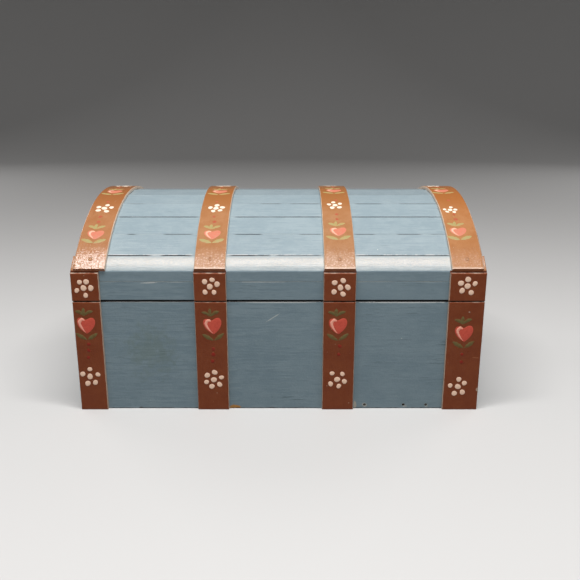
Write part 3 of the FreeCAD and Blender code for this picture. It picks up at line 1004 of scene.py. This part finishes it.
def ringPlaces(length):
    rounding, steps = strapLook["endRounding"], strapLook["endSteps"]
    start = [rounding * (1 - math.cos(math.pi / 2 * step / steps)) for step in range(steps + 1)]
    start.append(strapLook["endReach"] * rounding)
    count = round((length - 2 * start[-1]) / strapLook["ringSpacing"])
    step = (length - 2 * start[-1]) / count
    middle = [start[-1] + step * index for index in range(1, count)]
    return start + middle + [length - value for value in reversed(start)]


def strapMesh(name, width, length, place, endTilt, endWear, seed):
    section = strapSection(width)
    rounding = strapLook["endRounding"]
    lean = math.tan(math.radians(endTilt))
    rings, edges, flat = [], [], []
    for along in ringPlaces(length):
        fromEnd = min(along, length - along)
        ceiling = faceLevel
        if fromEnd < rounding:
            ceiling = faceLevel - rounding + math.sqrt(rounding ** 2 - (rounding - fromEnd) ** 2)
        atEnd = max(0.0, 1 - fromEnd / (strapLook["endReach"] * rounding))
        ring = []
        for across, out, edge in section:
            hand = 1 if across > 0 else -1
            stray = noise.noise(Vector((along * strapLook["wanderScale"], seed, hand * 3.7)))
            stray = strapLook["wander"] * (0.5 + 0.5 * stray)
            sideways = across - hand * stray * abs(across) / (width / 2)
            out = min(out, ceiling)
            draw = lean * out
            lengthways = min(max(along, draw), length - draw)
            ring.append(place(sideways, lengthways, out))
            edges.append(max(edge * (1 - atEnd) + edge * endWear * atEnd, endWear * atEnd))
            flat.append((across, lengthways + seed))
        rings.append(ring)
    mesh = joinMesh(name, [loft(rings)])
    uv = mesh.uv_layers.new(name="strapUv")
    for loop in mesh.loops:
        uv.data[loop.index].uv = flat[loop.vertex_index]
    addAttribute(mesh, "edge", edges)
    return mesh


def wallStraps():
    made = {}
    for body in ("base", "lid"):
        for side, face in ((-1, "front"), (1, "back")):
            for number in range(1, strapCount + 1):
                node = f"{body}_{face}_strap_{number}"
                low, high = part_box(node)
                place = wallPlace((low.x + high.x) / 2, low.z, side)
                seed = 1.7 * number + (5 if body == "lid" else 0) + (11 if side > 0 else 0)    # no two alike
                size = (high.x - low.x, high.z - low.z)
                mesh = strapMesh("painted_" + node, *size, place, 0.0, strapLook["wallEndWear"], seed)
                paint = brownWallRight if node == "base_front_strap_4" else brownWall
                addPiece("painted_" + node, mesh, body, [paint], [node])
                made[node] = (place, body)
    return made


domeBrads = {
    "fromEnd": 0.0075,
    "radius": 0.0012,
    "moat": 0.00016,       # open ring round the head
    "moatDepth": 0.0003,
    "head": [              # share of the radius, and height over the strap's face
        (1.0, -0.0004),
        (1.0, -0.00012),
        (0.93, -0.00003),
        (0.7, 0.000048),
        (0.35, 0.00008),
    ],
    "sides": 24,
}


def disc(place, along, levels):
    # closed round body in the strap, from levels of radius and height over the strap's face
    turns = circle(domeBrads["sides"])
    return loft([
        [place(radius * math.cos(turn), along + radius * math.sin(turn), faceLevel + out) for turn in turns]
        for radius, out in levels
    ])


def domeStraps():
    made, heads = {}, []
    radius = domeBrads["radius"]
    wide = radius + domeBrads["moat"]
    moat = [(wide, -domeBrads["moatDepth"]), (wide, faceInset)]
    head = [(radius * share, out) for share, out in domeBrads["head"]]
    ends = [domeBrads["fromEnd"], domeStrapLength - domeBrads["fromEnd"]]
    for number in range(1, strapCount + 1):
        node = f"lid_dome_strap_{number}"
        low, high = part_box(node)
        place = domePlace((low.x + high.x) / 2)
        mesh = strapMesh("painted_" + node, high.x - low.x, domeStrapLength, place,
                         strapLook["domeEndTilt"], strapLook["domeEndWearAndHighlight"], 20 + 1.9 * number)
        holes = [disc(place, along, moat) for along in ends]
        heads += [disc(place, along, head) for along in ends]
        addPiece("painted_" + node, mesh, "lid", [brownDomes[number - 1]], [node], holes)
        made[node] = (place, "lid")
    name, paint = "strap_brad_heads", brownDomes[1]    # painted over
    addPiece(name, joinMesh(name, heads), "lid", [paint], ["dome_strap_brads"], sharpFrom=50)
    return made


strapFaces = {**wallStraps(), **domeStraps()}
print("straps built:", len(strapFaces))

# Painted motifs on the straps, in metres across from the strap's middle and along it from its lower end
paintRelief = {
    "dot": 0.00010,
    "heart": 0.00008,
    "pink": 0.00010,      # highlight of a heart
    "leaf": 0.00008,
    "berry": 0.00010,
    "sink": 0.00008,      # how far a dab's rim lies in the strap
    "fullness": 14,       # flat tops with short steep rims
    "dotSag": 0.4,        # wall dots are thicker at their lower rim
}
flowerLook = {
    "dot": 0.00170,
    "centre": 0.00192,
    "uneven": 0.12,
    "reach": {"base": 0.0050, "lid": 0.0045, "dome": 0.0043},    # from the centre to a petal
    "reachSpread": 0.07,
    "dotSpread": 0.1,
}
berryLook = {"radius": 0.0012, "spread": 0.15, "uneven": 0.15, "sides": 12}
baseMotifs = [
    {"heart": (-0.0010, 0.0567), "tilt": 0, "flower": (-0.0014, 0.0228), "petals": (87, 15, -52, -110, 159),
     "berries": [(-0.0005, 0.0445), (-0.0008, 0.0404), (-0.0013, 0.0357)]},
    {"heart": (0.0011, 0.0563), "tilt": 6, "flower": (0.0007, 0.0206),
     "petals": (83, 143, -162, -107, -42, 18),
     "berries": [(0.001, 0.0414), (0.0009, 0.0377), (0.0003, 0.0332)]},
    {"heart": (-0.0006, 0.0563), "tilt": 2, "flower": (-0.0006, 0.0208), "petals": (128, 49, -16, -76, -144),
     "berries": [(0.0006, 0.0432), (0.0001, 0.0377)]},
    {"heart": (-0.0004, 0.0513), "tilt": 4, "flower": (-0.0020, 0.0159), "petals": (86, 31, -51, -113, 171),
     "berries": [(-0.0008, 0.0377), (-0.0008, 0.0326)]},
]
lidMotifs = [
    {"flower": (-0.0008, 0.0084), "petals": (120, 64, 0, -78, -160)},
    {"flower": (0.0000, 0.0093), "petals": (134, 70, 19, -55, -131)},
    {"flower": (0.0003, 0.0087), "petals": (139, 70, 2, -68, -145)},
    {"flower": (-0.0004, 0.0096), "petals": (89, 20, -59, -138, 156)},
]
domeMotifs = [    # the first heart, and from each heart to its flower
    {"heart": (-0.0006, 0.0273), "flower": (0.0, 0.0283), "size": 1.0, "petals": (74, 13, -60, -141, 160)},
    {"heart": (0.0002, 0.0273), "flower": (0.0, 0.0283), "size": 0.96, "petals": (85, 15, -42, -113, 167)},
    {"heart": (0.0004, 0.0301), "flower": (-0.0006, 0.0298), "size": 0.92,
     "petals": (103, 31, -48, -120, 165)},
    {"heart": (-0.0016, 0.0299), "flower": (-0.0012, 0.0236), "size": 0.8, "petals": (72, 5, -50, -135, 170)},
]
domeRhythm = {
    "repeat": 0.0577,        # from heart to heart
    "margin": 0.02,          # left free at the rear end
    "berries": (0.0125, 0.0180, 0.0375),    # from the heart
    "sway": 0.0004,
    "berrySway": 0.0005,
    "tilt": (-4, 6),
}
# strokes of the heart and its leaves are for a heart 1 wide and 1 high, from its middle
heartStroke = [(-0.07, 0.26), (-0.21, 0.31), (-0.335, 0.18), (-0.27, -0.06), (-0.06, -0.33)]
heartLook = {
    "wall": {
        "size": (0.0119, 0.0131),
        "stroke": 0.0023,
        "upper": [
            [(-0.10, 0.50), (-0.28, 0.66), (-0.52, 0.72)],
            [(-0.08, 0.50), (0.14, 0.66), (0.39, 0.72)],
            [(-0.09, 0.48), (-0.10, 0.68), (-0.08, 0.88)],
        ],
        "lower": [
            [(-0.03, -0.70), (-0.28, -0.56), (-0.58, -0.38)],
            [(0.03, -0.70), (0.26, -0.56), (0.54, -0.38)],
        ],
        "upperWidth": 0.0026,
        "lowerWidth": 0.0031,
    },
    "dome": {
        "size": (0.0110, 0.0098),
        "stroke": 0.0018,
        "upper": [
            [(-0.10, 0.55), (-0.32, 0.76), (-0.54, 0.84)],
            [(-0.08, 0.55), (0.18, 0.74), (0.44, 0.84)],
            [(-0.09, 0.57), (-0.11, 0.78), (-0.08, 1.02)],
        ],
        "lower": [
            [(-0.03, -0.70), (-0.34, -0.56), (-0.72, -0.40)],
            [(0.03, -0.70), (0.32, -0.56), (0.68, -0.40)],
        ],
        "upperWidth": 0.0026,
        "lowerWidth": 0.0033,
    },
}
strokeShape = {
    "steps": 5,               # between two points of a stroke
    "profile": [(1.0, 0.0), (0.72, 0.75), (0.0, 1.0), (-0.72, 0.75), (-1.0, 0.0)],    # across and up
    "unsteady": 0.3,          # how far the brush's width varies
    "shakeScale": 900,
    "thinnest": 0.12,         # share of the width at the ends
    "heartBelly": 0.4,        # where a stroke is widest
    "leafBelly": 0.55,
}
dabRings = [1.0, 0.97, 0.92, 0.8, 0.45]
motifSeeds = {"front": 40, "back": 50, "dome": 70}


def dab(place, centre, outline, paint, sag=0.0):
    # a closed drop of paint: outline points round the centre, with a flat domed top
    height, sink, fullness = (paintRelief[key] for key in (paint, "sink", "fullness"))
    reach = max(abs(dy) for dx, dy in outline)
    rings = []
    for share in dabRings:
        ring = []
        for dx, dy in outline:
            lift = height * (1 - sag * share * dy / reach)
            out = faceLevel - sink + (lift + sink) * (1 - share ** fullness)
            ring.append(place(centre[0] + share * dx, centre[1] + share * dy, out))
        rings.append(ring)
    rings.append([place(*centre, faceLevel + height)])
    return paint, loft(rings)


def smoothPath(points, steps):
    # a soft line through a few points
    ends = [points[0]] + list(points) + [points[-1]]
    line = []
    for index in range(len(points) - 1):
        a, b, c, d = (Vector(ends[index + shift]) for shift in range(4))
        bend, twist = 2 * a - 5 * b + 4 * c - d, 3 * b - a - 3 * c + d
        for step in range(steps):
            t = step / steps
            line.append(0.5 * (2 * b + (c - a) * t + bend * t * t + twist * t ** 3))
    line.append(Vector(points[-1]))
    return line


def stroke(place, points, width, paint, belly, base=faceLevel):
    # a closed brush stroke along a line, widest at the belly, which is a share of its length
    line = smoothPath(points, strokeShape["steps"])
    last = len(line) - 1
    height, sink = paintRelief[paint], paintRelief["sink"]
    rings = []
    for index, spot in enumerate(line):
        share = min(max(index / last, 0.03), 0.97)
        ahead = line[min(index + 1, last)] - line[max(index - 1, 0)]
        sideways = Vector((ahead.y, -ahead.x)).normalized()
        swell = math.sin(math.pi * share ** (math.log(0.5) / math.log(belly)))
        shake = noise.noise((spot * strokeShape["shakeScale"]).to_3d() + Vector((0, 0, 0.7 * index)))
        half = width / 2 * max(swell, strokeShape["thinnest"]) ** 0.7 * (1 + strokeShape["unsteady"] * shake)
        ring = []
        for reach, rise in strokeShape["profile"]:
            at = spot + sideways * half * reach
            ring.append(place(at.x, at.y, base - sink + (height * (0.35 + 0.65 * swell) + sink) * rise))
        rings.append(ring)
    return paint, loft(rings)


def roundOutline(radius, uneven, rng, sides=18):
    stretch = rng.uniform(-uneven, uneven)
    lean = rng.uniform(0, math.pi)
    outline = []
    for turn in circle(sides):
        reach = radius * (1 + stretch * math.cos(2 * (turn - lean)) + 0.03 * math.sin(3 * turn + lean))
        outline.append((reach * math.cos(turn), reach * math.sin(turn)))
    return outline


def flower(place, centre, petals, where, rng, sag=0.0, size=1.0):
    look = flowerLook
    spots = [(centre, size * look["centre"])]
    for petal in petals:
        far = size * look["reach"][where] * (1 + rng.uniform(-look["reachSpread"], look["reachSpread"]))
        turn = math.radians(petal)
        at = (centre[0] + far * math.cos(turn), centre[1] + far * math.sin(turn))
        spots.append((at, size * look["dot"] * (1 + rng.uniform(-look["dotSpread"], look["dotSpread"]))))
    return [dab(place, at, roundOutline(radius, look["uneven"], rng), "dot", sag) for at, radius in spots]


def turned(point, centre, tilt, scale=(1, 1)):
    x, y = point[0] * scale[0], point[1] * scale[1]
    c, s = math.cos(tilt), math.sin(tilt)
    return (centre[0] + x * c - y * s, centre[1] + x * s + y * c)


def heartOutline(width, height, sides=44):
    # two round lobes over a full body that runs to a point
    outline = []
    for t in circle(sides):
        x = math.copysign(abs(math.sin(t)) ** 1.7, -math.sin(t))
        y = 0.72 * math.cos(t) - 0.22 * math.cos(2 * t) - 0.08 * math.cos(3 * t) - 0.02 * math.cos(4 * t)
        outline.append((x * width / 2, (y + 0.145) * height * 0.57))
    return outline


def heart(place, centre, where, tilt):
    look = heartLook[where]
    size, lean = look["size"], math.radians(tilt)
    painted = [dab(place, centre, [turned(point, (0, 0), lean) for point in heartOutline(*size)], "heart")]
    shine = [turned(point, centre, lean, size) for point in heartStroke]
    top = faceLevel + paintRelief["heart"] * 0.6
    painted.append(stroke(place, shine, look["stroke"], "pink", strokeShape["heartBelly"], top))
    for row in ("upper", "lower"):
        for leaf in look[row]:
            line = [turned(point, centre, lean * 0.5, size) for point in leaf]
            painted.append(stroke(place, line, look[row + "Width"], "leaf", strokeShape["leafBelly"]))
    return painted


def berry(place, centre, rng):
    look = berryLook
    radius = look["radius"] * (1 + rng.uniform(-look["spread"], look["spread"]))
    return dab(place, centre, roundOutline(radius, look["uneven"], rng, look["sides"]), "berry")


def motifPiece(node, where, painted):
    mesh = joinMesh("motifs_" + node, [body for paint, body in painted])
    kinds = [paintKinds.index(paint) for paint, (points, faces) in painted for face in faces]
    mesh.polygons.foreach_set("material_index", kinds)
    addPiece("motifs_" + node, mesh, strapFaces[node][1], motifPaints[where], sharpFrom=25)


def paintWalls():
    sag = paintRelief["dotSag"]
    for face in ("front", "back"):
        for number, (base, lid) in enumerate(zip(baseMotifs, lidMotifs)):
            rng = random.Random(motifSeeds[face] + number)
            baseNode, lidNode = (f"{body}_{face}_strap_{number + 1}" for body in ("base", "lid"))
            place = strapFaces[baseNode][0]
            painted = heart(place, base["heart"], "wall", base["tilt"])
            painted += [berry(place, at, rng) for at in base["berries"]]
            painted += flower(place, base["flower"], base["petals"], "base", rng, sag)
            motifPiece(baseNode, "wall", painted)
            place = strapFaces[lidNode][0]
            motifPiece(lidNode, "wall", flower(place, lid["flower"], lid["petals"], "lid", rng, sag))


def paintDome():
    rhythm = domeRhythm
    last = domeStrapLength - rhythm["margin"]
    for number, look in enumerate(domeMotifs):
        rng = random.Random(motifSeeds["dome"] + number)
        node = f"lid_dome_strap_{number + 1}"
        place = strapFaces[node][0]
        painted = []
        middle, along = look["heart"]
        while along < last:
            shift = middle + rng.uniform(-rhythm["sway"], rhythm["sway"])
            painted += heart(place, (shift, along), "dome", rng.uniform(*rhythm["tilt"]))
            centre = (shift + look["flower"][0], along + look["flower"][1])
            if centre[1] < last:
                painted += flower(place, centre, look["petals"], "dome", rng, size=look["size"])
                for further in rhythm["berries"]:
                    sway = rng.uniform(-rhythm["berrySway"], rhythm["berrySway"])
                    painted.append(berry(place, (shift + sway, along + further), rng))
            along += rhythm["repeat"]
        motifPiece(node, "dome", painted)


paintWalls()
paintDome()
print("motifs painted")

# Paint that bridges the joints of the slats, split here and there
jointPaint = {
    "halfWidth": 0.00046,
    "flush": 0.00009,       # below the dome's corner where paint fills the joint
    "open": 0.00011,        # where it has split
    "crown": 0.00003,       # rise in the middle
    "depth": 0.0008,
    "step": 0.0012,
    "reach": 0.1255,
    "fade": 0.0025,         # at the ends of a split
    "splits": {             # start, end and strength on the front's joints, counted from the front edge
        0: [(-0.108, -0.078, 1.0), (-0.074, -0.053, 1.0), (-0.031, -0.004, 1.0), (-0.003, 0.027, 0.55),
            (0.047, 0.107, 0.75)],
        1: [(-0.097, -0.090, 0.7), (-0.074, -0.054, 0.6), (-0.029, -0.010, 0.8), (0.012, 0.028, 0.5),
            (0.047, 0.062, 0.6), (0.074, 0.091, 0.6), (0.095, 0.107, 0.4)],
        2: [(-0.106, -0.052, 1.0), (-0.030, 0.029, 1.0), (0.046, 0.109, 1.0)],
        3: [(-0.103, -0.090, 0.4), (-0.014, 0.002, 0.9), (0.006, 0.028, 0.9), (0.050, 0.070, 0.9),
            (0.080, 0.110, 0.7)],
        4: [(0.044, 0.098, 0.35)],
    },
    "backShare": 0.55,      # how much is split on the back
    "waves": (55, 260),     # coarse and fine noise of the splits
}


def splitAt(number, x):
    coarse, fine = jointPaint["waves"]
    wave = noise.noise(Vector((x * coarse, number * 7.3, 0))) * 0.7
    wave += noise.noise(Vector((x * fine, number * 3.1, 5))) * 0.3
    if number > jointsPerSide:
        return 0.5 + 0.5 * math.tanh((wave + 1.1 * (jointPaint["backShare"] - 0.5)) * 14)
    most = 0.0
    for start, end, strength in jointPaint["splits"].get(number, []):
        inside = min(x - start, end - x) / jointPaint["fade"]
        most = max(most, strength * min(max(inside, 0.0), 1.0))
    return most * min(1.0, 1.05 + 0.8 * wave)


def fillJoints():
    # one joint at the top of the dome, the others a slat's width apart on both sides
    look = jointPaint
    count = round(2 * look["reach"] / look["step"])
    corners = [(0, look["depth"]), (1, 0), (0, -look["crown"]), (-1, 0)]    # sideways and deeper
    for number in range(2 * jointsPerSide + 1):
        angle = slatStep * (number - jointsPerSide)
        rings, crackShades = [], []
        for index in range(count + 1):
            x = -look["reach"] + 2 * look["reach"] * index / count
            split = max(0.0, splitAt(number, x))
            surface = domeRadius - look["flush"] - (look["open"] - look["flush"]) * split
            ring = []
            for sideways, deeper in corners:
                turn = angle + sideways * look["halfWidth"] / domeRadius
                radius = surface - deeper
                ring.append(Vector((x, radius * math.sin(turn), domeCentre + radius * math.cos(turn))))
                crackShades.append(split)
            rings.append(ring)
        name = f"joint_paint_{number + 1:02d}"
        mesh = joinMesh(name, [loft(rings)])
        # how far each point is split, for the painted shadow in the open joints
        addAttribute(mesh, "crackShade", crackShades)
        addPiece(name, mesh, "lid", [blueJoint], sharpFrom=60)


fillJoints()
print("slat joints filled")

# Hinge screws
screwLook = {
    "fromEdge": 0.0036,      # from the leaf's far edge
    "fromSide": 0.0050,
    "leafThickness": 0.0008,
    "radius": 0.0017,
    "height": 0.00095,
    "levels": [(1.0, 0.0), (1.0, 0.28), (0.93, 0.55), (0.72, 0.83), (0.4, 0.97), (0.12, 1.0)],    # out and up
    "slotReach": 1.2,        # past the head, in radii
    "slotWidth": 0.00045,
    "slotDepth": 0.0005,
    "turn": 0.5,             # how far a slot may be turned, in radians
    "sides": 28,
}


def screwHeads(body, far, seed):
    look = screwLook
    rng = random.Random(seed)
    leafFace = halfDepth + look["leafThickness"]
    radius, height = look["radius"], look["height"]
    long, wide = radius * look["slotReach"], look["slotWidth"] / 2
    outline = [(-long, -wide), (long, -wide), (long, wide), (-long, wide)]
    heads, slots = [], []
    for hand in ("left", "right"):
        low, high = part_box(f"hinge_{hand}_{body}_leaf")
        z = low.z + look["fromEdge"] if far == "low" else high.z - look["fromEdge"]
        for x in (low.x + look["fromSide"], high.x - look["fromSide"]):
            turn = rng.uniform(-look["turn"], look["turn"])
            c, s = math.cos(turn), math.sin(turn)
            rings = []
            for reach, rise in look["levels"]:
                out, y = radius * reach, leafFace + height * rise
                spins = circle(look["sides"])
                rings.append([(x - out * math.cos(spin), y, z + out * math.sin(spin)) for spin in spins])
            heads.append(loft(rings))
            slots.append(loft([
                [(x - (a * c - b * s), leafFace + y, z + a * s + b * c) for a, b in outline]
                for y in (height - look["slotDepth"], height * 2)
            ]))
    name = f"{body}_screw_heads"
    mesh = joinMesh(name, heads)
    addPiece(name, mesh, body, [brass], [f"{body}_hinge_screws"], slots, sharpFrom=35)


screwHeads("base", "low", 5)
screwHeads("lid", "high", 6)
print("screw heads made")

# Finishes of the CAD pieces that stay
cadFinish = {
    "base_front_board": blueFront,
    "base_back_board": blueLong,
    "base_left_end": blueEnd,
    "base_right_end": blueEnd,
    "base_bottom_board": pine,
    "lid_front_rail": blueFrontRail,
    "lid_back_rail": blueBackRail,
    "lid_left_end": blueEnd,
    "lid_right_end": blueEnd,
    "bottom_brads": bradSteel,
}
cadFinish.update({name: blueSlat for name in nodes if name.startswith("lid_slat_")})
cadFinish.update({name: brass for name in nodes if name.startswith("hinge_")})
hingeBevel = {"width": 0.00015, "segments": 2, "fromAngle": 35}
weldDistance = 1e-6

for name, material in cadFinish.items():
    nodes[name].data.materials.clear()
    nodes[name].data.materials.append(material)
    if name.startswith("hinge_"):
        weld = nodes[name].modifiers.new("weld", "WELD")
        weld.merge_threshold = weldDistance
        bevel = nodes[name].modifiers.new("softEdges", "BEVEL")
        bevel.width = hingeBevel["width"]
        bevel.segments = hingeBevel["segments"]
        bevel.limit_method = "ANGLE"
        bevel.angle_limit = math.radians(hingeBevel["fromAngle"])
print("CAD pieces finished:", len(cadFinish))
